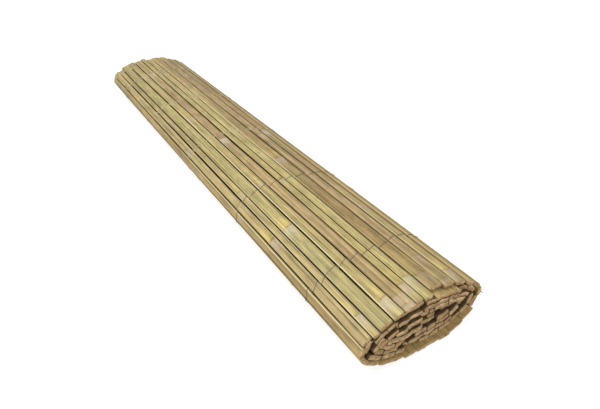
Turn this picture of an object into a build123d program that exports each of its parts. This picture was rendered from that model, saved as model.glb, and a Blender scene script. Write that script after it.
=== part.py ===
"""Bamboo screening mat: split slats bound by rows of wire, rolled up and pressed to a flat oval.

X runs along the slats, with the evenly cut end at +X. Y runs across the roll, and Z is up.
The roll lies on the wires that pass under it, at Z = 0. All sizes are millimetres.
"""

from build123d import *
from math import cos, floor, hypot, pi, radians, sin, sqrt
import os

# Slats, split from thick culms: a flat inner side, and the curved skin outwards
slat_length = 1000.0
slat_thickness = 4.8
thickness_spread = 0.4
slat_width = 16.0
width_spread = 5.0
culm_radius = 45.0
side_taper = 0.5
near_end_scatter = 3.0
far_end_scatter = 14.0

# Widths of the slats over the top of the roll, from its right edge to its left
top_slat_widths = (12.0, 13.0, 12.0, 15.5, 15.0, 18.5, 12.0, 10.0, 15.0, 13.5, 16.8, 8.0, 12.0)

# Wire: two strands to a row, which change sides in each gap between two slats
wire_thickness = 0.6
wire_clearance = 0.12
hinge_slack = 0.5
layer_slack = 0.25
wire_row_count = 5
wire_end_margin = 106.0

# Roll: an oval over the slats, flat where it lies on the ground
roll_width = 181.0
roll_height = 73.0
ground_flat_depth = 2.5
outer_edge_angle = -11.0
dive_start = 0.85
tip_slack = 1.8
chord_allowance = 0.2

# Derived sizes
wire_offset = wire_thickness / 2 + wire_clearance
wire_room = 2 * wire_offset
hinge_gap = 2 * wire_offset + hinge_slack
layer_gap = 2 * wire_thickness + 3 * wire_clearance + layer_slack
turn_pitch = slat_thickness + layer_gap + chord_allowance
tip_pitch = turn_pitch + tip_slack
half_width = roll_width / 2
half_height = (roll_height + ground_flat_depth) / 2
core_half_height = slat_thickness / 2 + layer_gap / 2

# Even scatter, and where it starts for each size
golden_share = 0.618034
far_end_seed = 0.11
width_seed = 0.31
near_end_seed = 0.57
thickness_seed = 0.83

# Steps of the search for a slat's place
angle_step = 0.005
inward_step = 0.25
inward_steps = 8
slat_shares = (1.0, 0.75, 0.5)
nudges = 10


def spread(index, seed):
    """An even scatter from -1 to 1, the same for the same slat each time."""
    return 2 * ((index * golden_share + seed) % 1) - 1


def turns_sunk(angle):
    """How many turns deep the spiral lies: each turn dives under its own start in its last part."""
    turns = (angle - radians(outer_edge_angle)) / (2 * pi)
    part_turn = turns % 1
    return floor(turns) + max(0.0, (part_turn - dive_start) / (1 - dive_start))


def spiral_height(angle):
    """Half the height of the roll where the spiral has come to this angle."""
    return half_height - turn_pitch * turns_sunk(angle)


def spiral(angle):
    """A point of the roll's spiral, from its outer edge inwards, as (y, z)."""
    across = half_width - tip_pitch * turns_sunk(angle)
    up = spiral_height(angle)
    return across * cos(angle), max(up * sin(angle), ground_flat_depth - up)


class Slat:
    """A slat's section: its outer side from start to end, and its frame, along and outwards."""

    def __init__(self, index, start, end, width, thickness, inward):
        run = hypot(end[0] - start[0], end[1] - start[1])
        self.index = index
        self.along = ((end[0] - start[0]) / run, (end[1] - start[1]) / run)
        self.out = (self.along[1], -self.along[0])
        self.width = width
        self.thickness = thickness
        depth = inward + thickness / 2
        center_y = (start[0] + end[0]) / 2 - self.out[0] * depth
        center_z = (start[1] + end[1]) / 2 - self.out[1] * depth
        self.center = (center_y, center_z)
        half, deep = width / 2, thickness / 2
        self.corners = [self.at(-half, -deep), self.at(half, -deep), self.at(half, deep), self.at(-half, deep)]

    def at(self, along, out):
        """The point at these distances from the middle of the section."""
        y = self.center[0] + self.along[0] * along + self.out[0] * out
        z = self.center[1] + self.along[1] * along + self.out[1] * out
        return y, z

    def along_to(self, point):
        """How far along the section a point is from its middle."""
        return (point[0] - self.center[0]) * self.along[0] + (point[1] - self.center[1]) * self.along[1]

    def section(self):
        """Flat inner side, split sides that lean in a little, and the arc of the skin."""
        half, deep = self.width / 2, self.thickness / 2
        crown = culm_radius - sqrt(culm_radius**2 - half**2)
        inner = [self.at(-half + side_taper, -deep), self.at(half - side_taper, -deep)]
        left, top, right = self.at(-half, deep - crown), self.at(0, deep), self.at(half, deep - crown)
        edges = Polyline(left, inner[0], inner[1], right) + ThreePointArc(right, top, left)
        return make_face(edges)

    def ends(self):
        """Where the slat ends along X. The cut at the far end is more ragged than at the near end."""
        far = -slat_length / 2 + far_end_scatter * (1 + spread(self.index, far_end_seed)) / 2
        near = slat_length / 2 - near_end_scatter * (1 + spread(self.index, near_end_seed)) / 2
        return far, near

    def solid(self):
        far, near = self.ends()
        return extrude(Plane.YZ.offset(far) * self.section(), near - far)


def apart(first, second, gap):
    """Whether two slats are at least this gap apart, along one of the sides of either."""
    away = hypot(first.center[0] - second.center[0], first.center[1] - second.center[1])
    if away > (first.width + first.thickness + second.width + second.thickness) / 2 + gap:
        return True
    for slat in (first, second):
        for axis in (slat.along, slat.out):
            spans = []
            for other in (first, second):
                reach = [y * axis[0] + z * axis[1] for y, z in other.corners]
                spans.append((min(reach), max(reach)))
            if spans[0][1] + gap <= spans[1][0] or spans[1][1] + gap <= spans[0][0]:
                return True
    return False


def chord_end(angle, width):
    """The angle at which a chord of this width, begun at the given angle, meets the spiral again."""
    start = spiral(angle)
    while True:
        angle += angle_step
        point = spiral(angle)
        if hypot(point[0] - start[0], point[1] - start[1]) >= width:
            return angle


def folded_back(first, second):
    """Whether the second slat runs back under the first, as in a sharp fold of the mat."""
    return first.along[0] * second.along[0] + first.along[1] * second.along[1] < 0


def hinged(first, second):
    """Whether the wire fits between two neighbours: each wholly past the other's side, or folded under."""
    if folded_back(first, second):
        return apart(first, second, layer_gap)
    ahead = min(first.along_to(corner) for corner in second.corners) - first.width / 2
    behind = -max(second.along_to(corner) for corner in first.corners) - second.width / 2
    return min(ahead, behind) >= hinge_gap


def link(first, second):
    """The bar from one slat to the next that their wire keeps to, as thick as the slat."""
    start = first.at(first.width / 2, 0)
    end = second.at(-second.width / 2, 0)
    run = hypot(end[0] - start[0], end[1] - start[1])
    return Slat(second.index, start, end, run, first.thickness, -first.thickness / 2)


def fits(slat, placed, links):
    """Whether a slat, and the wire that ties it to the last one, clear all that is placed."""
    if not placed:
        return True
    if not hinged(placed[-1], slat):
        return False
    if not all(apart(slat, other, layer_gap) for other in placed[:-1]):
        return False
    tie = link(placed[-1], slat)
    if not all(apart(tie, other, wire_room) for other in placed[:-1] + links[:-1]):
        return False
    return all(apart(slat, other, wire_room) for other in links)


def place_slat(index, width, thickness, angle, placed, links):
    """The first place along the spiral, in or out of it, where the slat clears those that are placed.

    Where the slat is too wide for a tight bend, a narrower one takes its place.
    """
    while spiral_height(angle) > core_half_height:
        for share in slat_shares:
            for nudge in range(nudges):
                start_angle = angle + nudge * angle_step
                end_angle = chord_end(start_angle, share * width)
                ends = spiral(start_angle), spiral(end_angle)
                for step in range(inward_steps):
                    for inward in (step * inward_step, -step * inward_step):
                        slat = Slat(index, *ends, share * width, thickness, inward)
                        if fits(slat, placed, links):
                            return slat, end_angle
        angle += nudges * angle_step
    return None, angle


def roll_slats():
    """All slats from the roll's outer edge to its middle, each with the turn that it is in."""
    placed = []
    links = []
    turns = []
    start = radians(outer_edge_angle)
    angle = start
    while True:
        index = len(placed)
        if index < len(top_slat_widths):
            width = top_slat_widths[index]
        else:
            width = slat_width + width_spread * spread(index, width_seed)
        thickness = slat_thickness + thickness_spread * (spread(index, thickness_seed) - 1) / 2
        slat, angle = place_slat(index, width, thickness, angle, placed, links)
        if slat is None:
            return placed, turns
        if placed:
            links.append(link(placed[-1], slat))
        placed.append(slat)
        turns.append(floor((angle - start) / (2 * pi)))


def crossing(first, second, side):
    """A strand's points from this side of one slat to the other side of the next.

    In a sharp fold the strand also goes round the corner on the inside of the fold.
    """
    first_reach, first_height = first.width / 2 + wire_offset, first.thickness / 2 + wire_offset
    second_reach, second_height = second.width / 2 + wire_offset, second.thickness / 2 + wire_offset
    leave = first.at(first_reach, side * first_height)
    arrive = second.at(-second_reach, -side * second_height)
    turn = first.along[0] * second.along[1] - first.along[1] * second.along[0]
    if turn * side > 0 and first.along_to(arrive) < first_reach:
        return [leave, first.at(first_reach, -side * first_height), arrive]
    if turn * side < 0 and second.along_to(leave) > -second_reach:
        return [leave, second.at(-second_reach, side * second_height), arrive]
    return [leave, arrive]


def strand_route(slats, side):
    """A strand's middle line: over one slat and under the next."""
    first, last = slats[0], slats[-1]
    route = [first.at(-first.width / 2, side * (first.thickness / 2 + wire_offset))]
    for here, after in zip(slats, slats[1:]):
        route += crossing(here, after, side)
        side = -side
    return route + [last.at(last.width / 2, side * (last.thickness / 2 + wire_offset))]


def ribbon(route, width):
    """The closed outline of a band of this width along the route, with mitred corners."""
    sides = ([], [])
    for before, here, after in zip([None] + route[:-1], route, route[1:] + [None]):
        normals = []
        for start, end in ((before, here), (here, after)):
            if start and end:
                run = hypot(end[0] - start[0], end[1] - start[1])
                normals.append(((start[1] - end[1]) / run, (end[0] - start[0]) / run))
        mean = (normals[0][0] + normals[-1][0], normals[0][1] + normals[-1][1])
        size = width / (mean[0] ** 2 + mean[1] ** 2)
        for points, sign in zip(sides, (1, -1)):
            points.append((here[0] + sign * size * mean[0], here[1] + sign * size * mean[1]))
    return sides[0] + sides[1][::-1]


def wire_row(slats, x):
    """Two strands side by side, the second on the other side of each slat."""
    strands = []
    for side in (1, -1):
        outline = ribbon(strand_route(slats, side), wire_thickness)
        low = x + side * (wire_clearance + wire_thickness) / 2 - wire_thickness / 2
        face = make_face(Polyline(*outline, close=True))
        strands.append(extrude(Plane.YZ.offset(low) * face, wire_thickness))
    return strands


def middle(values):
    return (min(values) + max(values)) / 2


def save(name, solids):
    moved = [to_ground * solid for solid in solids]
    export_step(moved[0] if len(moved) == 1 else Compound(moved), f"parts/{name}.step")


os.makedirs("parts", exist_ok=True)
slats, turns = roll_slats()
wire_points = [point for side in (1, -1) for point in ribbon(strand_route(slats, side), wire_thickness)]
mid_x = middle([x for slat in slats for x in slat.ends()])
mid_y = middle([y for y, z in wire_points])
to_ground = Pos(-mid_x, -mid_y, -min(z for y, z in wire_points))
for slat, turn in zip(slats, turns):
    if turn == 0:
        save(f"outer_slat_{slat.index + 1:02d}", [slat.solid()])
for turn in range(1, max(turns) + 1):
    inner = [slat.solid() for slat, own_turn in zip(slats, turns) if own_turn == turn]
    save(f"turn_{turn + 1}_slats", inner)
row_spacing = (slat_length - 2 * wire_end_margin) / (wire_row_count - 1)
for row in range(wire_row_count):
    save(f"wire_row_{row + 1}", wire_row(slats, slat_length / 2 - wire_end_margin - row * row_spacing))
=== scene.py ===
"""Looks of the rolled bamboo screening mat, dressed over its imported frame. Sizes are metres."""

import math
import random
from collections import namedtuple

import bmesh
import bpy
from mathutils import Matrix, Vector, noise


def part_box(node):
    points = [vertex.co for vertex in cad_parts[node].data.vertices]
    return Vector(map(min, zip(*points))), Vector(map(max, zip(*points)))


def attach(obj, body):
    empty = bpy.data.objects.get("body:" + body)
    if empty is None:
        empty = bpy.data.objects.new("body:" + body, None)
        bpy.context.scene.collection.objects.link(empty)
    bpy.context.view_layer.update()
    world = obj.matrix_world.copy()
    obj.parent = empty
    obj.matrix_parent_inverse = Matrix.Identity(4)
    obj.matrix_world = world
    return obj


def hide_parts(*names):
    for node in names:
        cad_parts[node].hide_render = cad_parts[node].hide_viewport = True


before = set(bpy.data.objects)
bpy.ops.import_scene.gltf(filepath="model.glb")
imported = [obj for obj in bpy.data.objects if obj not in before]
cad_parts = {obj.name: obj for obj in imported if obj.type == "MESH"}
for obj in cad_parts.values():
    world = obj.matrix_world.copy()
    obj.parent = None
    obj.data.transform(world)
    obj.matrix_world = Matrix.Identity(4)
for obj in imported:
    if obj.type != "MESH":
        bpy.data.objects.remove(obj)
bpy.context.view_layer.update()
mm = 0.001


def colour(red, green, blue):
    """A colour given as screen values from 0 to 255, in the linear values that Blender takes."""
    return tuple(((part / 255 + 0.055) / 1.055) ** 2.4 for part in (red, green, blue))


def blend(first, second, share):
    """A tone this share of the way from the first to the second."""
    return tuple(a + (b - a) * share for a, b in zip(first, second))


def ramp(value, low, high):
    """0 below the low value and 1 above the high one, with a smooth rise between."""
    share = min(1.0, max(0.0, (value - low) / (high - low)))
    return share * share * (3 - 2 * share)


# Tones of dry bamboo
olive = colour(172, 160, 104)
green = colour(181, 165, 110)
yellow_green = colour(187, 171, 115)
gold = colour(208, 186, 112)
tan = colour(182, 156, 104)
warm_tan = colour(198, 156, 92)
pink_tan = colour(184, 156, 116)
brown = colour(160, 134, 88)
scar = colour(112, 86, 52)
far_tone = colour(166, 148, 98)
tones = (olive, green, tan, pink_tan, brown, yellow_green, tan, olive)

# Tones of the finer marks on its skin
dark_streak = colour(112, 88, 48)
dark_speck = colour(92, 70, 42)
pale_patch = colour(212, 204, 182)
rosy_patch = colour(190, 158, 142)
patch_spot = colour(86, 66, 52)

# Tones of its split sides and its broken ends
split_shade = colour(136, 106, 62)
split_light = colour(196, 170, 114)
cream_edge = colour(240, 226, 172)
# Painted shade: the dark brown that stands for the shade in the gaps and inside the roll
painted_shade_tone = colour(58, 42, 24)
end_tan = colour(184, 149, 108)
end_cream = colour(234, 200, 152)
dark_layer = colour(70, 46, 26)
pale_layer = colour(222, 194, 144)
dark_pore = colour(60, 40, 24)
inner_wood = colour(92, 66, 42)

# A node of a slat: its place along X in mm, how gold the skin is before it, and how strong and how rosy the
# pale patch is after it
Node = namedtuple("Node", "place gold patch rosy")

# What each outer slat looks like where the photo shows it, counted from the mat's outer edge: its tone, how
# bright its cream split edges are (towards the previous slat, towards the next) and from where to where, how
# far its near end is broken off, and its nodes. Places are in mm
looks = {
    1: (
        blend(olive, scar, 0.3), (0.2, 0.3), (-500, 500), 1,
        (Node(-340, 0.3, 0.3, 0), Node(60, 0.3, 0.3, 0)),
    ),
    2: (
        blend(olive, scar, 0.15), (0.3, 0.4), (-500, 500), 3,
        (Node(-160, 0.4, 0.5, 1), Node(250, 0.3, 0.4, 0)),
    ),
    3: (
        blend(tan, warm_tan, 0.5), (0.5, 0.5), (-100, 500), 2,
        (Node(-410, 0.3, 0.6, 1), Node(-156, 0.2, 0.5, 1), Node(240, 0.3, 0.3, 1)),
    ),
    4: (
        blend(tan, brown, 0.8), (0.3, 1.2), (240, 480), 4,
        (Node(-400, 0.4, 0.4, 1), Node(18, 0.6, 1.0, 0), Node(301, 0.3, 0.4, 1), Node(470, 0.7, 0.65, 0.6)),
    ),
    5: (
        blend(pink_tan, tan, 0.4), (0.4, 0.2), (200, 500), 8,
        (Node(-347, 0.2, 0.5, 1), Node(32, 0.2, 0.2, 0), Node(434, 0.1, 0.3, 1), Node(482, 0.1, 0.4, 1)),
    ),
    6: (
        brown, (0.1, 1.5), (-230, 190), 10,
        (Node(-290, 0.2, 0.4, 1), Node(131, 0.6, 0.6, 0.4), Node(462, 0.1, 0.3, 1)),
    ),
    7: (
        yellow_green, (0.3, 0.6), (400, 500), 2,
        (Node(-250, 0.4, 0.2, 0), Node(100, 0.4, 0.3, 0), Node(458, 0.4, 0.45, 0)),
    ),
    8: (
        green, (0.4, 0.3), (-400, -150), 2,
        (Node(-372, 0.6, 0.3, 0), Node(-110, 0.4, 0.2, 0), Node(190, 0.3, 0.2, 0), Node(464, 0.9, 0.8, 0.7)),
    ),
    9: (
        blend(pink_tan, brown, 0.45), (0.2, 0.4), (-100, 200), 1,
        (Node(-394, 0.3, 0.5, 0.6), Node(13, 0.1, 1.1, 0.5), Node(474, 0.0, 0.6, 1), Node(491, 0.6, 0.3, 0)),
    ),
    10: (
        blend(green, tan, 0.35), (0.2, 1.3), (-170, 500), 1,
        (
            Node(-393, 0.4, 0.45, 0.5), Node(-110, 0.4, 0.3, 0),
            Node(170, 0.4, 0.2, 0), Node(468, 0.35, 0.6, 0),
        ),
    ),
    11: (
        blend(olive, green, 0.35), (0.3, 0.3), (0, 500), 1,
        (Node(-340, 0.3, 0.2, 0), Node(-70, 0.35, 0.1, 0), Node(292, 1.0, 0.6, 0.3)),
    ),
    12: (
        blend(olive, tan, 0.5), (0.5, 0.7), (-60, 500), 1,
        (Node(-150, 0.3, 0.3, 0), Node(170, 0.4, 0.3, 0), Node(465, 0.4, 0.55, 0.1)),
    ),
    13: (
        blend(olive, pink_tan, 0.5), (0.3, 0.4), (-300, 500), 1,
        (Node(-300, 0.3, 0.3, 1), Node(-20, 0.4, 0.3, 0), Node(291, 0.9, 0.65, 0.5)),
    ),
    14: (
        blend(brown, tan, 0.6), (1.3, 0.6), (-20, 500), 1,
        (Node(-180, 0.4, 0.3, 0), Node(200, 0.4, 0.3, 0)),
    ),
}

# Where the nodes of the slats that the photo doesn't show start and end, and how far apart they lie, in mm
first_node = (-480, -180)
last_node = 480
node_spacing = (270, 390)

# Where a split edge is cut back, so that the gap beside it is wide, or stands out, so that it is narrow: the
# slat, its side towards the previous slat (-1) or the next (1), the middle and reach along X, and the depth
wide_gaps = (
    (9, -1, 40, 120, 1.1), (13, -1, 110, 150, 0.9), (6, 1, -230, 150, 0.5), (10, 1, -120, 110, 0.5),
    (12, -1, 360, 120, 0.1), (6, -1, 330, 60, 0.5), (8, -1, 330, 160, 0.4), (11, -1, 440, 60, 0.4),
    (5, 1, 470, 60, -0.9), (6, -1, 470, 60, -0.9), (3, 1, 320, 200, 1.1), (4, -1, 320, 200, 0.6),
    (5, -1, 250, 250, 1.1), (4, 1, 250, 250, 0.6), (7, -1, 440, 90, 0.4), (3, 1, -250, 150, 0.6),
    (12, 1, 390, 150, -0.5), (13, -1, 390, 130, -0.5), (5, 1, 90, 120, 0.6), (6, -1, 90, 120, 0.6),
    (9, 1, -150, 200, -0.2), (10, -1, -150, 200, -0.2), (13, 1, 150, 350, -0.35), (14, -1, 150, 350, -0.35),
    (11, 1, 150, 300, -0.25), (12, -1, 150, 200, -0.25), (13, 1, -400, 220, -0.6), (14, -1, -400, 220, -0.6),
    (12, 1, -450, 90, -0.5), (13, -1, -450, 90, -0.5),
)

# Slats whose edge towards the next one stands up, by their lean
leans = {2: 0.05, 3: 0.09, 4: 0.06}

# How far the far ends stand out past the straight end, in mm
far_ends = {
    1: -16, 2: -12, 3: -6, 4: 2, 5: 8, 6: 3, 7: 5,
    8: 14, 9: 2, 10: 16, 11: 10, 12: 9, 13: 12, 14: 3,
}

# How far the near ends of the slats under the roll stand out past those of the inner ones, in mm
near_ends = {15: 0.4, 16: 1.5, 17: 3, 18: 5, 19: 5.5, 20: 6.5, 21: 6, 22: 7, 23: 6, 24: 4.5}

# Where each wire row crosses the slats, in mm beyond its own row: rows 1 to 4 as the photo shows them
crossings = {
    1: {13: 3, 12: 5, 11: 0, 10: 1, 9: 2, 8: 5, 7: 2, 6: 4, 5: -3, 4: -5, 3: -4},
    2: {13: -8, 12: -6, 11: -5, 10: -7, 9: -3, 8: -5, 7: -1, 6: 1, 5: 4, 4: 0, 3: -2},
    3: {13: -7, 12: -2, 11: -5, 10: -7, 9: -8, 8: -5, 7: -3, 6: 2, 5: 6, 4: 8, 3: 5},
    4: {13: -6, 12: -5, 11: -9, 10: -3},
}

# Loose wire ends by row: the slat that they stand behind, and their length and curl in mm
tails = {
    1: ((13, 7.0, 3.0),),
    2: ((12, 3.0, 3.0),),
    3: ((11, 9.0, 1.0), (4, 3.0, 4.0)),
    5: ((13, 9.0, 4.0),),
}

# Wire rows that take the darker copy of the wire, with painted shade; the others take a paler copy with a
# painted glint
shaded_wire_rows = (1, 2)

# Sizes of a slat's section
culm_radius = 45 * mm
side_taper = 0.5 * mm
shoulder_drop = 0.45 * mm
foot_rise = 0.5 * mm
inner_waver = 0.25 * mm

# How the split edges waver: by how many mm, over what length in metres, and on which channel
edge_waves = ((0.34, 0.2, 4), (0.16, 0.045, 8))
edge_cut = 0.02

# The ridge of a node and the grooves beside it: height, place and reach, in mm
node_ridge = 0.55 * mm
node_shape = ((1, 0, 5.5), (-0.75, 2.6, 1.1), (-0.45, -3.2, 1.2))
node_bulge = 0.35
node_sections = range(-7, 15)

# How far the cream edges take to fade out, in mm, and what is left of them beyond
cream_fade = 60
least_cream = 0.15

# Tones beside a node: the gold before it, in a long and a short rise, the olive after it, the dark line on
# it, and the pale patch
long_rise = (-110 * mm, -30 * mm)
short_rise = (-34 * mm, -12 * mm)
olive_begins = (18 * mm, 40 * mm)
olive_ends = (60 * mm, 120 * mm)
line_width = 1.2 * mm
line_wave = 1.0 * mm
line_wave_length = 3 * mm
patch_begins = (0, 2 * mm)
patch_ends = (9 * mm, 30 * mm)
far_reach = (-480, -60)

# How a slat twists, sways and sinks along its length, and what its loose ends add
twist_lean = 0.018
loose_lean = 0.02
sway_by = 0.2 * mm
loose_sway = 0.4 * mm
sink_by = 0.14 * mm
ripple_by = 0.3 * mm
ripple_length = 2.2 * mm

# How the layers wave up and aside at the loose ends: the noise's scales across and up, and its own row
layer_wave = 2.2 * mm
rise_wave = (120, 40, 5.1)
side_wave = (60, 90, 9.7)

# Smooth noise along a slat: its gain, its steps between slats and between channels, and the grain's step
noise_gain = 1.6
slat_stride = 7.31
channel_stride = 3.77
grain_shift = 0.37

# Where a slat's sections stand: in the outer turn, in the inner ones, at nodes and ends
outer_step = 10 * mm
inner_step = 60 * mm
fine_step = 1.6 * mm
least_step = 0.6 * mm
end_zone = 12 * mm

# How the loose ends spread: over what lengths, what is left open, and the most that they take up
swell_start = 75 * mm
swell_full = 25 * mm
near_spread = (12 * mm, 50 * mm)
far_spread = (6 * mm, 30 * mm)
top_end_spread = 0.3
end_gap = 0.3 * mm
crack = 0.5 * mm
most_swell = 1.9 * mm
most_room = 1.6 * mm
most_flare = 1.0 * mm
under_spread = 0.4 * mm
layer_reach = 6 * mm
least_slope = 0.3

# The near ends: where the inner slats and those under the roll end, which outer ones are broken off or
# frayed, and which inner ones lie bare behind them
even_end = 498.8 * mm
end_scatter = 0.9 * mm
broken_slats = (3, 4, 5, 6)
frayed_slats = (1, 2)
under_slats = range(15, 25)
bared_slats = (28, 29)
bared_reach = (480, 494)

# How far the points of an end are jagged, in mm: broken slats, other outer ones and inner ones
broken_jag = 2.6
outer_jag = 0.9
inner_jag = 0.5

# The broken face of an end: its rings as shares of the outline, and how far they stand out or in, in mm
face_rings = (0.9, 0.62, 0.32)
ring_out = 0.2
tip_out = 0.4
face_in = 0.4

# Its splinters, where it is frayed and elsewhere: fewest, most, and the thickest and longest in mm
frayed_splinters = (9, 13, 1.1, 7.0)
plain_splinters = (2, 6, 0.5, 1.8)
thinnest = 0.25
shortest = 1.0
splinter_lean = 0.7
splinter_root = 0.6 * mm

# Painted shade in the gaps and inside the roll: on each level of an outer slat, and on the inner ones
outer_painted_shade = {"foot": 0.9, "inner": 0.9, "shoulder": 0.35, "skin": 0.0}
inner_painted_shade = 1.95

# The wire: its size, its slant over a slat, and how it clears the slats and the other strand
wire_radius = 0.3 * mm
strand_lift = 0.06 * mm
strand_shift = 0.4 * mm
twist_slack = 0.03 * mm
slant = 5.0 * mm
first_twist = 9 * mm
edge_clear = 0.5 * mm
tie_level = 0.5 * mm
tail_clear = 0.4 * mm
tail_level = 1.6 * mm

# Where the strands cross what the photo doesn't show: the scatter of their places in mm, and of their slants
crossing_scatter = 4
slant_scatter = (0.5, 1.3)

# The section's outline: share of the half width, inset from the edge, level, split side (1) or skin (0),
# and cream edge
outline = (
    (-1, 1.0 * mm, "inner", 1, 0),
    (-0.35, 0, "inner", 1, 0),
    (0.35, 0, "inner", 1, 0),
    (1, 1.0 * mm, "inner", 1, 0),
    (1, 0.55 * mm, "foot", 1, 0),
    (1, 0.06 * mm, "shoulder", 1, 0.45),
    (1, 0.4 * mm, "skin", 0, 1),
    (1, 1.3 * mm, "skin", 0, 0),
    (0.48, 0, "skin", 0, 0),
    (0, 0, "skin", 0, 0),
    (-0.48, 0, "skin", 0, 0),
    (-1, 1.3 * mm, "skin", 0, 0),
    (-1, 0.4 * mm, "skin", 0, 1),
    (-1, 0.06 * mm, "shoulder", 1, 0.45),
    (-1, 0.55 * mm, "foot", 1, 0),
)

# What a slat's points tell their material besides the tint: cream edge, split side, broken end, the slat's
# own shift of the grain, pale patch and how rosy it is, place across and out of the slat, and painted shade
mark_names = ("edge", "split", "end", "shift", "patch", "blush", "across", "level", "grime")


def wave_of_layers(spot, across_scale, up_scale, row):
    """How far the layers have waved here. Neighbouring slats share it, so that they stay side by side."""
    return layer_wave * noise.noise(Vector((spot.y * across_scale, spot.z * up_scale, row)))


class Slat:
    """One slat: where its section lies, read from the CAD solid, and its own bow, twist and nodes."""

    def __init__(self, points):
        self.near = max(point.x for point in points)
        self.far = min(point.x for point in points)
        ring = {(point.y, point.z) for point in points if point.x > self.near - 0.1 * mm}
        ring = [Vector(point) for point in ring]
        center = sum(ring, Vector((0, 0))) / len(ring)
        ring.sort(key=lambda point: math.atan2(point.y - center.y, point.x - center.x))
        best = None
        for start, end in zip(ring, ring[1:] + ring[:1]):
            line = (end - start).normalized()
            spans = [point.dot(line) for point in ring]
            error = abs(max(spans) - min(spans) - (end - start).length - 2 * side_taper)
            if best is None or error < best[0]:
                best = (error, start, line)
        out = Vector((-best[2].y, best[2].x))
        if (center - best[1]).dot(out) < 0:
            out = -out
        along = Vector((-out.y, out.x))
        reach = [point.dot(along) for point in ring]
        height = [point.dot(out) for point in ring]
        middle = along * (max(reach) + min(reach)) / 2 + out * (max(height) + min(height)) / 2
        self.width = max(reach) - min(reach)
        self.thickness = max(height) - min(height)
        self.middle = Vector((0, *middle))
        self.out = Vector((0, *out))
        self.along = Vector((0, *along))

    def number_as(self, number, outer):
        """Gives the slat its number in the mat, and with it its look and its ends."""
        self.number = number
        self.outer = outer
        self.draw = random.Random(number)
        self.shift = number * grain_shift
        self.swell_out = 0
        self.swell_in = 0
        self.room = [0, 0]
        self.flare = [0, 0]
        self.cut_back = [gap[1:] for gap in wide_gaps if gap[0] == number]
        if number in looks:
            self.tone, self.cream, self.cream_reach, short, self.nodes = looks[number]
            self.near -= short * mm
            self.far -= far_ends[number] * mm
        else:
            self.make_up_look()
        if number in bared_slats:
            self.tone = tan
        if not outer or number in under_slats:
            self.near = even_end + near_ends.get(number, 0) * mm - end_scatter * self.draw.random() ** 2

    def make_up_look(self):
        """A tone, cream edges and nodes for a slat that the photo doesn't show."""
        draw = self.draw
        self.tone = blend(draw.choice(tones), draw.choice(tones), draw.random())
        self.cream = (draw.random() ** 2, draw.random() ** 2) if self.outer else (0, 0)
        self.cream_reach = (draw.uniform(-500, 0), draw.uniform(100, 500))
        self.nodes = []
        place = draw.uniform(*first_node)
        while place < last_node:
            self.nodes.append(Node(place, draw.random() * 0.8, draw.random() ** 1.5, draw.random()))
            place += draw.uniform(*node_spacing)

    def wander(self, x, length, channel):
        """A smooth wander from about -1 to 1 along the slat. Each channel has its own."""
        spot = Vector((x / length, self.number * slat_stride, channel * channel_stride))
        return noise_gain * noise.noise(spot)

    def swell(self, x):
        """How far the layers have spread at the slat's loose ends, from 0 to 1."""
        to_end = min(self.near - x, x - self.far)
        return 1 - ramp(to_end, swell_full, swell_start)

    def end_spread(self, x):
        """How far a slat's ends have spread towards its neighbours, from 0 to 1."""
        most = top_end_spread if self.number < under_slats[0] else 1
        near = (1 - ramp(self.near - x, *near_spread)) * most
        return max(near, 1 - ramp(x - self.far, *far_spread))

    def at_node(self, x):
        """The ridges of the nodes, and the grooves beside them, over the skin."""
        height = 0
        for node in self.nodes:
            away = (x - node.place * mm) / mm
            for rise, middle, reach in node_shape:
                height += rise * math.exp(-(((away - middle) / reach) ** 2))
        return height * node_ridge

    def half(self, x, side):
        """Half the width on one side, which follows the split."""
        wobble = -edge_cut
        for far, length, channel in edge_waves:
            wobble += far * self.wander(x, length, channel + side)
        for cut_side, middle, reach, depth in self.cut_back:
            if cut_side == side:
                wobble -= depth * math.exp(-(((x / mm - middle) / reach) ** 2))
        bulge = node_bulge * self.at_node(x)
        room = self.room[side > 0] + (under_spread if self.number in under_slats else 0)
        return self.width / 2 + wobble * mm + bulge + room * self.end_spread(x)

    def skin(self, x, u):
        """How far the skin lies outside the section's middle."""
        crown = culm_radius - math.sqrt(culm_radius**2 - u * u)
        return self.thickness / 2 - crown + self.at_node(x) + self.swell_out * self.swell(x)

    def place(self, x, u, v):
        """The point this far along, across and out of the slat, with its bow, twist and loose waves."""
        loose = 0 if self.outer else self.swell(x)
        lean = (twist_lean + loose_lean * loose) * self.wander(x, 0.35, 1) + leans.get(self.number, 0)
        sway = (sway_by + loose_sway * loose) * self.wander(x, 0.4, 2)
        sink = -sink_by * (1 + self.wander(x, 0.3, 3))
        ripple = loose * ripple_by * math.sin(u / ripple_length + self.number)
        across = self.along * (u - v * lean + sway)
        spot = self.middle + Vector((x, 0, 0)) + across + self.out * (v + u * lean + sink + ripple)
        if loose:
            spot.z += loose * wave_of_layers(spot, *rise_wave)
            spot.y += loose * wave_of_layers(spot, *side_wave)
        return spot

    def over(self, x, u):
        """A strand's place over the skin."""
        return self.place(x, u, self.skin(x, u) + wire_radius + strand_lift)

    def under(self, x, u):
        """A strand's place under the flat inner side."""
        return self.place(x, u, -self.thickness / 2 - wire_radius - strand_lift)

    def tint(self, x, u):
        """The slat's colour here, before its fine grain."""
        shade = self.wander(x, 0.18, 11) * 0.5
        tone = blend(self.tone, gold if shade > 0 else brown, abs(shade) * 0.35)
        tone = blend(tone, olive, 0.35 * max(0, self.wander(x, 0.3, 12)))
        tone = blend(tone, far_tone, 0.6 * (1 - ramp(x / mm, *far_reach)))
        for node in self.nodes:
            away = x - node.place * mm + line_wave * math.sin(u / line_wave_length + node.place)
            if away < 0:
                before = 0.25 * ramp(away, *long_rise) + 0.75 * ramp(away, *short_rise)
                tone = blend(tone, gold, min(1, 0.7 * node.gold * before))
            tone = blend(tone, olive, 0.4 * (ramp(away, *olive_begins) - ramp(away, *olive_ends)))
            line = math.exp(-((away / line_width) ** 2))
            tone = blend(tone, scar, min(1, line * (0.3 + 0.3 * node.patch)))
        return tone

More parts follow.
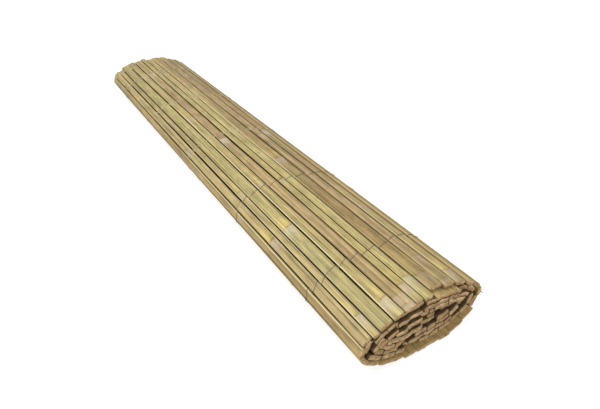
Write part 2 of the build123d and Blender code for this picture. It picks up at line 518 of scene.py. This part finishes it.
    def patch(self, x):
        """How strong and how rosy the pale patch beside a node is here."""
        strong, blush = 0.0, 0.0
        for node in self.nodes:
            away = x - node.place * mm
            here = node.patch * ramp(away, *patch_begins) * (1 - ramp(away, *patch_ends))
            strong += here
            blush += here * node.rosy
        return strong, blush

    def cream_at(self, x, side):
        """How bright the cream edge on one side is here."""
        low, high = self.cream_reach
        begun = ramp(x / mm, low - cream_fade, low + cream_fade)
        over = ramp(x / mm, high - cream_fade, high + cream_fade)
        return self.cream[side > 0] * (least_cream + (1 - least_cream) * (begun - over))

    def grime(self, x, level):
        """The painted shade of the gaps and the inner turns here, on a level of its section. Free ends take
        none.
        """
        grime = outer_painted_shade[level] if self.outer else inner_painted_shade
        if self.number in bared_slats or self.number in near_ends:
            grime *= 1 - ramp(x / mm, *bared_reach)
        return grime

    def stations(self):
        """Where the slat's sections stand along X: closer at the nodes and the ends."""
        step = outer_step if self.outer else inner_step
        count = math.ceil((self.near - self.far) / step)
        places = {self.far + (self.near - self.far) * index / count for index in range(count + 1)}
        fine = fine_step if self.outer else 3 * fine_step
        for index in range(1, int(end_zone / fine)):
            places |= {self.far + index * fine, self.near - index * fine}
        if self.outer:
            for node in self.nodes:
                places |= {node.place * mm + index * fine_step for index in node_sections}
        else:
            places |= {self.near - swell_full, self.near - swell_start}
            places |= {self.far + swell_full, self.far + swell_start}
        places = sorted(place for place in places if self.far <= place <= self.near)
        kept = places[:1]
        for place in places[1:-1]:
            if place - kept[-1] > least_step and places[-1] - place > least_step:
                kept.append(place)
        return kept + places[-1:]


class Shape:
    """A mesh in the making, with the marks that its material reads."""

    def __init__(self):
        self.points = []
        self.faces = []
        self.tints = []
        self.marks = {name: [] for name in mark_names}

    def add(self, point, tint=(0, 0, 0), **marks):
        """A point with its marks, of which those that aren't given are 0."""
        self.points.append(point)
        self.tints.append(tint)
        for name, values in self.marks.items():
            values.append(marks.get(name, 0.0))
        return len(self.points) - 1

    def bridge(self, first, second):
        """Faces between two loops of as many points."""
        for index in range(len(first)):
            after = (index + 1) % len(first)
            self.faces.append((first[index], second[index], second[after], first[after]))

    def close(self, loop, tip):
        """Faces from a loop to one point."""
        for index in range(len(loop)):
            self.faces.append((loop[index], tip, loop[(index + 1) % len(loop)]))

    def build(self, name, nodes, finish, sharp=38):
        """Makes the piece, smooth but for edges sharper than this angle, in the place of its CAD nodes."""
        mesh = bpy.data.meshes.new(name)
        mesh.from_pydata([tuple(point) for point in self.points], [], self.faces)
        layer = mesh.attributes.new("tint", "FLOAT_COLOR", "POINT")
        layer.data.foreach_set("color", [part for tint in self.tints for part in (*tint, 1.0)])
        for mark, values in self.marks.items():
            layer = mesh.attributes.new(mark, "FLOAT", "POINT")
            layer.data.foreach_set("value", values)
        work = bmesh.new()
        work.from_mesh(mesh)
        bmesh.ops.recalc_face_normals(work, faces=work.faces)
        work.to_mesh(mesh)
        work.free()
        mesh.shade_smooth()
        mesh.set_sharp_from_angle(angle=math.radians(sharp))
        mesh.materials.append(finish.material)
        piece = bpy.data.objects.new(name, mesh)
        bpy.context.scene.collection.objects.link(piece)
        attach(piece, "root")
        for node in nodes:
            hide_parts(node)
        return piece


def slat_loop(shape, slat, x, end=0.0, jag=None):
    """One section of a slat as a loop of points. A jag moves each point along X, as at a torn end."""
    loop = []
    for index, (share, inset, level, split, edge) in enumerate(outline):
        side = -1 if share < 0 else 1
        here = x + (jag[index] if jag else 0)
        half = slat.half(here, side)
        if level in ("skin", "shoulder"):
            half += slat.flare[side > 0] * slat.end_spread(here)
        u = share * half - side * inset
        if level == "skin":
            v = slat.skin(here, u)
        elif level == "shoulder":
            v = slat.skin(here, u) - shoulder_drop
        else:
            v = -slat.thickness / 2 - slat.swell_in * slat.swell(here)
            if level == "foot":
                v += foot_rise
            elif abs(share) < 1:
                v += inner_waver * slat.wander(here, 0.08, 20 + index)
        patch, blush = slat.patch(here)
        loop.append(shape.add(
            slat.place(here, u, v), slat.tint(here, u), edge=edge * slat.cream_at(here, side), split=split,
            end=end, shift=slat.shift, patch=patch, blush=blush, across=u, level=v,
            grime=slat.grime(here, level),
        ))
    return loop


def broken_face(shape, slat, loop, centre, x, way):
    """Closes a slat's end with rings of broken fibre that stand out or in."""
    tint = blend(slat.tone, brown, 0.5)

    def broken(share, index, out):
        """A point of the broken face, this share of the way from its middle to a point of the loop."""
        spot = centre + (shape.points[index] - centre) * share
        spot.x = x + way * slat.draw.uniform(-face_in, out) * mm
        across, level = (shape.marks[name][index] * share for name in ("across", "level"))
        deep = 0.45 if share > 0.8 else 1.0
        return shape.add(spot, tint, split=0.5, end=deep, shift=slat.shift, across=across, level=level)

    last = loop
    for share in face_rings:
        ring = [broken(share, index, ring_out) for index in loop]
        shape.bridge(last, ring)
        last = ring
    shape.close(last, broken(0, loop[0], tip_out))


def splinters(shape, slat, loop, centre, x, way):
    """Fibres that stand out of a slat's end: more, thicker and longer ones where the near end is frayed."""
    frayed = way > 0 and slat.number in frayed_slats
    least, most, thickest, longest = frayed_splinters if frayed else plain_splinters
    tint = blend(slat.tone, brown, 0.5)
    for _ in range(slat.draw.randint(least, most)):
        root = centre + (shape.points[slat.draw.choice(loop)] - centre) * slat.draw.uniform(0.5, 0.97)
        root.x = x - way * splinter_root
        thick = slat.draw.uniform(thinnest, thickest) * mm
        length = way * slat.draw.uniform(shortest, longest) * mm
        aside, up = (slat.draw.uniform(-splinter_lean, splinter_lean) * mm for _ in range(2))
        base = []
        for turn in range(3):
            angle = turn * math.tau / 3 + slat.draw.random()
            spot = root + Vector((0, math.cos(angle), math.sin(angle))) * thick
            base.append(shape.add(spot, tint, split=1.0, end=0.4, shift=slat.shift))
        peak = shape.add(root + Vector((length, aside, up)), gold, split=1.0, shift=slat.shift)
        shape.faces.append(tuple(base))
        shape.close(base, peak)


def torn_end(shape, slat, loop, x, way):
    """A slat's end towards +X (1) or -X (-1), as it is torn off."""
    centre = sum((shape.points[index] for index in loop), Vector()) / len(loop)
    broken_face(shape, slat, loop, centre, x, way)
    splinters(shape, slat, loop, centre, x, way)


def jagged(slat, rough, way):
    """How far each point of an end's loop is moved along X: mostly back from the end, and a little out."""
    return [slat.draw.uniform(-rough, rough / 4) * mm * way for _ in outline]


def slat_shape(shape, slat):
    """A slat from its far end to its near one."""
    stations = slat.stations()
    if slat.number in broken_slats:
        rough = broken_jag
    else:
        rough = outer_jag if slat.outer else inner_jag
    loops = [slat_loop(shape, slat, stations[0], 0.25, jagged(slat, rough, -1))]
    for x in stations[1:-1]:
        loops.append(slat_loop(shape, slat, x))
    loops.append(slat_loop(shape, slat, stations[-1], 0.25, jagged(slat, rough, 1)))
    for first, second in zip(loops, loops[1:]):
        shape.bridge(first, second)
    torn_end(shape, slat, loops[0], stations[0], -1)
    torn_end(shape, slat, loops[-1], stations[-1], 1)


def solids_of(node):
    """The corner points of each solid of a CAD node."""
    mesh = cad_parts[node].data
    places = {}
    index_of = [places.setdefault(tuple(vertex.co), len(places)) for vertex in mesh.vertices]
    leader = list(range(len(places)))

    def lead(index):
        """The corner that stands for all the corners joined to this one."""
        while leader[index] != index:
            leader[index] = leader[leader[index]]
            index = leader[index]
        return index

    for edge in mesh.edges:
        leader[lead(index_of[edge.vertices[0]])] = lead(index_of[edge.vertices[1]])
    groups = {}
    for place, index in places.items():
        groups.setdefault(lead(index), []).append(Vector(place))
    return list(groups.values())


def layer_gap(slat, way, slats):
    """How far the next layer lies from a slat's skin (1) or inner side (-1), less what both have swelled."""
    nearest = layer_reach
    heading = slat.out * way
    for share in (-0.35, 0, 0.35):
        half = slat.thickness / 2 + (slat.swell_out if way > 0 else slat.swell_in)
        start = slat.middle + slat.along * slat.width * share + heading * half
        for other in slats:
            slope = heading.dot(other.out)
            if other is slat or abs(slope) < least_slope:
                continue
            half = other.thickness / 2 + (other.swell_in if slope > 0 else other.swell_out)
            face = other.middle - other.out * math.copysign(half, slope)
            away = (face - start).dot(other.out) / slope
            landing = (start + heading * away - other.middle).dot(other.along)
            if away > 0 and abs(landing) < other.width / 2:
                nearest = min(nearest, away)
    return nearest


def fill_ends(slats):
    """Spreads the loose ends of the slats into the room beside them and between the layers."""
    for slat, after in zip(slats, slats[1:]):
        edge = slat.middle + slat.along * slat.width / 2
        next_edge = after.middle - after.along * after.width / 2
        gap = (next_edge - edge).length
        room = max(0, gap - (end_gap if slat.outer else 0)) / 2
        slat.room[1] = after.room[0] = min(most_room, room)
        if after.outer:
            crest = edge + slat.out * slat.thickness / 2
            next_crest = next_edge + after.out * after.thickness / 2
            flare = max(0, (next_crest - crest).length - gap) / 2
            slat.flare[1] = after.flare[0] = min(most_flare, flare)

    # Half of each gap between two layers first, and then what that leaves. The outer skin stays where it is
    gaps = [(layer_gap(slat, -1, slats), layer_gap(slat, 1, slats)) for slat in slats]
    for slat, (gap_in, gap_out) in zip(slats, gaps):
        slat.swell_in = min(most_swell, max(0, gap_in - crack) / 2)
        if not slat.outer:
            slat.swell_out = min(most_swell, max(0, gap_out - crack) / 2)
    for slat in slats:
        slat.swell_in = min(most_swell, slat.swell_in + max(0, layer_gap(slat, -1, slats) - crack))
        if not slat.outer:
            slat.swell_out = min(most_swell, slat.swell_out + max(0, layer_gap(slat, 1, slats) - crack))


def in_mat_order(first, others):
    """The other slats in the order of the mat, each next to the end of the one before."""
    ordered = []
    last = first
    while others:
        end = last.middle + last.along * last.width / 2
        last = min(others, key=lambda slat: (slat.middle - slat.along * slat.width / 2 - end).length)
        others.remove(last)
        ordered.append(last)
    return ordered


def tube(shape, route, radius, sides=6):
    """A round wire along a route of points."""
    normal = None
    last = None
    for index, point in enumerate(route):
        heading = (route[min(index + 1, len(route) - 1)] - route[max(index - 1, 0)]).normalized()
        if normal is None:
            normal = heading.orthogonal().normalized()
        normal = (normal - heading * normal.dot(heading)).normalized()
        other = heading.cross(normal)
        ring = []
        for side in range(sides):
            angle = math.tau * side / sides
            ring.append(shape.add(point + (normal * math.cos(angle) + other * math.sin(angle)) * radius))
        if last is None:
            shape.close(ring, shape.add(point - heading * radius * 0.6))
        else:
            shape.bridge(last, ring)
        last = ring
    shape.close(last, shape.add(route[-1] + heading * radius * 0.6))


def twist(centre, out, along, start, end, turns, side, steps=10):
    """One strand of the pair that is twisted in the gap between two slats, from one X to another."""
    points = []
    for step in range(steps + 1):
        share = step / steps
        angle = math.tau * turns * share + (0 if side > 0 else math.pi)
        arm = out * math.cos(angle) + along * math.sin(angle)
        x = start + (end - start) * share
        points.append(Vector((x, centre.y, centre.z)) + arm * (wire_radius + twist_slack))
    return points


def corner_route(first, second, x, side):
    """Where a strand goes between two inner slats: round the corner on the inside of a sharp fold."""
    height = wire_radius + strand_lift
    reach = first.width / 2 + height
    second_reach = second.width / 2 + height

    def spot(slat, u, way):
        """A strand's place at a slat's skin (1) or its inner side (-1), this far across it."""
        beside = slat.middle + Vector((x, 0, 0)) + slat.along * u
        return beside + slat.out * way * (slat.thickness / 2 + height)

    leave = spot(first, reach, side)
    arrive = spot(second, -second_reach, -side)
    turn = first.along.y * second.along.z - first.along.z * second.along.y
    if turn * side > 0 and (arrive - first.middle).dot(first.along) < reach:
        return [leave, spot(first, reach, -side), arrive]
    if turn * side < 0 and (leave - second.middle).dot(second.along) > -second_reach:
        return [leave, spot(second, -second_reach, side), arrive]
    return [leave, arrive]


def strand(slats, row, row_x, side):
    """One strand of a wire row, over one slat and under the next, twisted with the other in the gaps."""
    draw = random.Random(100 + row)
    seen = crossings.get(row, {})
    scatter = [draw.uniform(-crossing_scatter, crossing_scatter) for slat in slats]
    shifts = [seen.get(slat.number, other) * mm for slat, other in zip(slats, scatter)]
    slants = [slant * draw.uniform(*slant_scatter) for slat in slats]
    twists = [draw.choice((0.5, 1.5, 1.5)) for slat in slats]
    first = slats[0]
    x = row_x + shifts[0] - slants[0] / 2
    edge = first.place(x, -first.half(x, -1) - edge_clear, 0)
    route = twist(edge, first.out, first.along, x - first_twist, x, 1.5, -side)
    for index, slat in enumerate(slats):
        after = slats[index + 1] if index + 1 < len(slats) else None
        way = slat.over if side > 0 else slat.under
        if slat.outer:
            start = row_x + shifts[index] - slants[index] / 2
            end = row_x + shifts[index] + slants[index] / 2
            for share in (-0.93, -0.5, 0.0, 0.5, 0.93):
                x = (start + end) / 2 + (end - start) / 2 * share
                route.append(way(x, share * slat.half(x, 1 if share > 0 else -1)))
            if after and after.outer:
                leave = slat.place(end, slat.half(end, 1), tie_level)
                arrive = after.place(end, -after.half(end, -1), tie_level)
                out = (slat.out + after.out).normalized()
                along = (slat.along + after.along).normalized()
                begin = row_x + shifts[index + 1] - slants[index + 1] / 2
                route += twist((leave + arrive) / 2, out, along, end, begin, twists[index], side)
        else:
            x = row_x + side * strand_shift
            route += [way(x, share * slat.width / 2) for share in (-0.8, 0, 0.8)]
        if after and not after.outer:
            route += corner_route(slat, after, row_x + side * strand_shift, side)
        side = -side
    return route


def tail(shape, start, lean, length, curl, steps=14):
    """A short twisted wire end that stands up out of a gap."""
    up = lean.normalized()
    sideways = Vector((1, 0, 0)) - up * up.x
    sideways.normalize()
    cross = up.cross(sideways)
    for phase in (0, math.pi):
        points = []
        for step in range(steps + 1):
            share = step / steps
            bend = sideways * curl * share**2
            angle = phase + share * math.tau * 2
            arm = (sideways * math.cos(angle) + cross * math.sin(angle)) * wire_radius * 1.05
            points.append(start + up * length * (share - 0.12) + bend + arm)
        tube(shape, points, wire_radius * 0.9)


class Value:
    """One output of a material's node. Python's operators on it add Math nodes."""

    def __init__(self, finish, socket):
        self.finish = finish
        self.socket = socket

    def work(self, operation, first, second=0.0, clamp=False):
        """A Math node's result from two values."""
        settings = {"operation": operation, "use_clamp": clamp}
        return self.finish.node("ShaderNodeMath", settings, {0: first, 1: second})

    def __add__(self, other):
        return self.work("ADD", self, other)

    def __sub__(self, other):
        return self.work("SUBTRACT", self, other)

    def __rsub__(self, other):
        return self.work("SUBTRACT", other, self)

    def __mul__(self, other):
        return self.work("MULTIPLY", self, other)

    def __truediv__(self, other):
        return self.work("DIVIDE", self, other)

    def __rtruediv__(self, other):
        return self.work("DIVIDE", other, self)

    __radd__ = __add__
    __rmul__ = __mul__

    def held(self):
        """The value held between 0 and 1."""
        return self.work("ADD", self, 0.0, clamp=True)

    def between(self, low, high):
        """0 below the low value and 1 above the high one."""
        return ((self - low) / (high - low)).held()


class Finish:
    """A procedural material around one Principled shader."""

    def __init__(self, name, **constants):
        self.material = bpy.data.materials.new(name)
        self.material.use_nodes = True
        self.tree = self.material.node_tree
        self.shader = self.tree.nodes["Principled BSDF"]
        for socket, value in constants.items():
            self.shader.inputs[socket.replace("_", " ")].default_value = value

    def node(self, kind, settings=None, inputs=None, output=0):
        """Adds a node: its settings first, then the values or links of its sockets."""
        added = self.tree.nodes.new(kind)
        for name, value in (settings or {}).items():
            setattr(added, name, value)
        for name, value in (inputs or {}).items():
            if isinstance(value, Value):
                self.tree.links.new(value.socket, added.inputs[name])
            else:
                added.inputs[name].default_value = value
        return Value(self, added.outputs[output])

    def feed(self, socket, value):
        """Links a value to a socket of the shader."""
        self.tree.links.new(value.socket, self.shader.inputs[socket])

    def mark(self, name):
        """A mark of the mesh as a number."""
        return self.node("ShaderNodeAttribute", {"attribute_name": name}, output="Fac")

    def tone(self, name):
        """A mark of the mesh as a colour."""
        return self.node("ShaderNodeAttribute", {"attribute_name": name}, output="Color")

    def mix(self, share, first, second, way="MIX"):
        """A mix of two colours, the second over the first by this share."""
        first = first if isinstance(first, Value) else (*first, 1.0)
        second = second if isinstance(second, Value) else (*second, 1.0)
        settings = {"data_type": "RGBA", "blend_type": way}
        return self.node("ShaderNodeMix", settings, {0: share, 6: first, 7: second}, 2)

    def place(self, scale, shift=None):
        """The object's own coordinates, stretched, and moved along X by a shift."""
        spot = self.node("ShaderNodeTexCoord", output="Object")
        if shift is not None:
            moved = self.node("ShaderNodeCombineXYZ", None, {0: shift})
            spot = self.node("ShaderNodeVectorMath", {"operation": "ADD"}, {0: spot, 1: moved})
        return self.node("ShaderNodeVectorMath", {"operation": "MULTIPLY"}, {0: spot, 1: scale})

    def speckle(self, spot, detail, roughness):
        """Smooth noise at a place."""
        inputs = {"Vector": spot, "Scale": 1.0, "Detail": detail, "Roughness": roughness}
        return self.node("ShaderNodeTexNoise", None, inputs)

    def grain(self, scale, shift=None, detail=3.0, roughness=0.55):
        """Noise that is stretched along the object's axes."""
        return self.speckle(self.place(scale, shift), detail, roughness)

    def bump(self, height, strength, distance):
        """Fine relief by a height over the surface."""
        inputs = {"Height": height, "Strength": strength, "Distance": distance}
        self.feed("Normal", self.node("ShaderNodeBump", None, inputs))


def skin_colour(finish, shift, fibres, streaks, stains):
    """The skin: the slat's tint with fibres, bands and stains in it, dark streaks and specks."""
    bands = finish.grain((2.5, 150, 150), shift, 2.0)
    specks = finish.grain((420, 1400, 1400), shift, 2.0)
    shade = 1 + (fibres - 0.5) * 0.9 + (streaks - 0.5) * 1.6 + (stains - 0.5) * 1.4 + (bands - 0.5) * 0.9
    grey = finish.node("ShaderNodeCombineColor", None, {0: shade, 1: shade, 2: shade})
    skin = finish.mix(1.0, finish.tone("tint"), grey, "MULTIPLY")
    skin = finish.mix(streaks.between(0.4, 0.26) * 0.55, skin, dark_streak)
    return finish.mix(specks.between(0.66, 0.74) * 0.35, skin, dark_speck)


def patched(finish, skin, shift):
    """The skin with the pale and rosy patches beside its nodes, and dark spots in them."""
    patch = finish.mark("patch")
    mottle = finish.grain((170, 320, 320), shift, 3.0, 0.7)
    blush = (finish.mark("blush") / (patch + 0.001)).held()
    pale = finish.mix((blush * 0.7 + (mottle - 0.5) * 1.6).held(), pale_patch, rosy_patch)
    skin = finish.mix((patch * (1.7 - mottle * 1.9)).held() * 0.85, skin, pale)
    return finish.mix((patch * 3).held() * mottle.between(0.66, 0.74) * 0.7, skin, patch_spot)


def fibre_layers(finish, shift):
    """The layers of fibre in a broken end, which lie as the slat's skin does."""
    across = finish.mark("across") * 190
    level = finish.mark("level") * 900
    spot = finish.node("ShaderNodeCombineXYZ", None, {0: across, 1: level, 2: shift * 9})
    return finish.speckle(spot, 3.0, 0.6)


def end_grain(finish, shift, layers):
    """A broken end: each slat's own tone, dark and pale layers, pores, and darker wood at the inner side."""
    pores = finish.grain((700, 1100, 1100), shift, 2.0, 0.6)
    own = finish.node("ShaderNodeTexWhiteNoise", {"noise_dimensions": "1D"}, {"W": shift})
    to_skin = finish.mark("level").between(-2.4 * mm, 1.6 * mm)
    grain = finish.mix(own, end_tan, end_cream)
    grain = finish.mix(layers.between(0.5, 0.36) * 0.85, grain, dark_layer)
    grain = finish.mix(layers.between(0.6, 0.72) * 0.5, grain, pale_layer)
    grain = finish.mix(pores.between(0.6, 0.7) * 0.5, grain, dark_pore)
    return finish.mix((1 - to_skin) * 0.5, grain, inner_wood)


def bamboo_finish():
    """Dry split bamboo: satin skin with fine fibres along X, cream split edges, and brown broken ends."""
    finish = Finish("dry split bamboo", Specular_IOR_Level=0.3)
    shift = finish.mark("shift")
    split = finish.mark("split")
    end = finish.mark("end")
    fibres = finish.grain((9, 1500, 1500), shift, 2.0)
    streaks = finish.grain((4, 420, 420), shift, 3.0)
    stains = finish.grain((34, 130, 130), shift, 4.0, 0.65)
    layers = fibre_layers(finish, shift)
    skin = patched(finish, skin_colour(finish, shift, fibres, streaks, stains), shift)
    side = finish.mix(fibres.between(0.3, 0.7), split_shade, split_light)
    surface = finish.mix(split * 0.75, skin, side)
    # Painted shade: the gaps and the inner turns are darkened towards a dark brown
    surface = finish.mix(finish.mark("grime") * 0.5, surface, painted_shade_tone)
    cream = (finish.mark("edge") * (0.3 + streaks * 1.4)).held()
    surface = finish.mix(cream, surface, cream_edge)
    surface = finish.mix(end, surface, end_grain(finish, shift, layers))
    finish.feed("Base Color", surface)
    finish.feed("Roughness", (0.46 + split * 0.3 + end * 0.4 + (stains - 0.5) * 0.25).held())
    finish.bump(fibres * 0.6 + streaks * 0.9 + layers * end * 2.2, 0.55, 0.25 * mm)
    return finish


def wire_finish(name, metal, stain):
    """Galvanised wire in one tone of metal, with stains of another tone."""
    finish = Finish(name, Metallic=0.75)
    stains = finish.grain((260, 260, 260), None, 3.0)
    finish.feed("Base Color", finish.mix(stains.between(0.42, 0.6), metal, stain))
    finish.feed("Roughness", 0.42 + stains * 0.2)
    return finish


def dress_slats(finish):
    """Replaces the CAD slats by detailed ones, and returns them in the order of the mat."""
    nodes = sorted(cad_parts)
    groups = {node: [Slat(solids_of(node)[0])] for node in nodes if node.startswith("outer_slat")}
    slats = [group[0] for group in groups.values()]
    outer_count = len(slats)
    for node in (name for name in nodes if name.startswith("turn_")):
        groups[node] = in_mat_order(slats[-1], [Slat(points) for points in solids_of(node)])
        slats += groups[node]
    for number, slat in enumerate(slats, 1):
        slat.number_as(number, number <= outer_count)
    fill_ends(slats)
    for node, group in groups.items():
        shape = Shape()
        for slat in group:
            slat_shape(shape, slat)
        shape.build(node + "_split_bamboo", [node], finish)
    return slats


def dress_wires(slats, dull, bright):
    """Replaces the CAD wires by round strands, twisted in the gaps, with a few loose tails."""
    for node in sorted(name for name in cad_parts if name.startswith("wire_row")):
        row = int(node.rsplit("_", 1)[1])
        low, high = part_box(node)
        row_x = (low.x + high.x) / 2
        shape = Shape()
        for side in (1, -1):
            tube(shape, strand(slats, row, row_x, side), wire_radius)
        for number, length, curl in tails.get(row, ()):
            slat = slats[number - 1]
            x = row_x + crossings.get(row, {}).get(number, 0) * mm
            root = slat.place(x, slat.half(x, 1) + tail_clear, tail_level)
            tail(shape, root, slat.out, length * mm, curl * mm)
        # The near rows take the darker wire, for painted shade, and the far ones the paler wire, for a
        # painted glint
        shape.build(node + "_twisted_strands", [node], dull if row in shaded_wire_rows else bright, 60)


def build_studio():
    """A plain white floor, a white room that lights from all sides, and two soft lamps."""
    floor_size = 30
    floor_white = (0.62, 0.62, 0.62, 1)
    floor_glow = 0.64
    bpy.ops.mesh.primitive_plane_add(size=floor_size)
    floor = bpy.context.object
    floor.name = "white_floor"
    finish = Finish("white floor", Roughness=1.0, Specular_IOR_Level=0.0, Base_Color=floor_white)
    finish.feed("Emission Color", finish.node("ShaderNodeLightPath", output="Is Camera Ray"))
    finish.shader.inputs["Emission Strength"].default_value = floor_glow
    floor.data.materials.append(finish.material)

    room_light = 0.58
    room_white = 1.0
    world = bpy.data.worlds.new("soft white room")
    bpy.context.scene.world = world
    world.use_nodes = True
    sky = world.node_tree
    light_path = sky.nodes.new("ShaderNodeLightPath")
    level = sky.nodes.new("ShaderNodeMix")
    level.inputs[2].default_value = room_light
    level.inputs[3].default_value = room_white
    sky.links.new(light_path.outputs["Is Camera Ray"], level.inputs[0])
    sky.links.new(level.outputs[0], sky.nodes["Background"].inputs["Strength"])
    sky.nodes["Background"].inputs["Color"].default_value = (1, 1, 1, 1)

    lamp_size = 1.6
    for name, spot, watts in (("key light", (-0.8, -0.8, 2.35), 34), ("fill light", (2.1, -0.9, 1.0), 20)):
        lamp = bpy.data.lights.new(name, "AREA")
        lamp.energy = watts
        lamp.size = lamp_size
        holder = bpy.data.objects.new(name, lamp)
        holder.location = spot
        holder.rotation_euler = (-Vector(spot)).to_track_quat("-Z", "Y").to_euler()
        bpy.context.scene.collection.objects.link(holder)


def place_camera():
    """The camera as fitted to the roll's outline and its wire rows in the photo."""
    spot = (0.769, -0.304, 0.469)
    yaw, pitch, roll = math.radians(150.49), math.radians(-34.44), math.radians(-3.26)
    ahead = Vector((math.cos(yaw) * math.cos(pitch), math.sin(yaw) * math.cos(pitch), math.sin(pitch)))
    level = ahead.cross(Vector((0, 0, 1))).normalized()
    up = level.cross(ahead)
    right = level * math.cos(roll) + up * math.sin(roll)
    top = up * math.cos(roll) - level * math.sin(roll)
    camera = bpy.data.cameras.new("camera")
    camera.lens = 30.35
    camera.sensor_width = 36
    camera.clip_start = 0.01
    holder = bpy.data.objects.new("camera", camera)
    turned = Matrix((right, top, -ahead)).transposed().to_4x4()
    holder.matrix_world = Matrix.Translation(spot) @ turned
    bpy.context.scene.collection.objects.link(holder)
    bpy.context.scene.camera = holder


slats_in_order = dress_slats(bamboo_finish())
# Two copies of the same galvanised wire: a darker one with painted shade and a paler one with a painted
# glint
shaded_wire = wire_finish("galvanised wire with painted shade", colour(150, 144, 130), colour(116, 98, 72))
glinting_wire = wire_finish("galvanised wire with painted glint", colour(236, 230, 210), colour(190, 174, 138))
dress_wires(slats_in_order, shaded_wire, glinting_wire)
build_studio()
place_camera()
bpy.context.scene.view_settings.view_transform = "Standard"
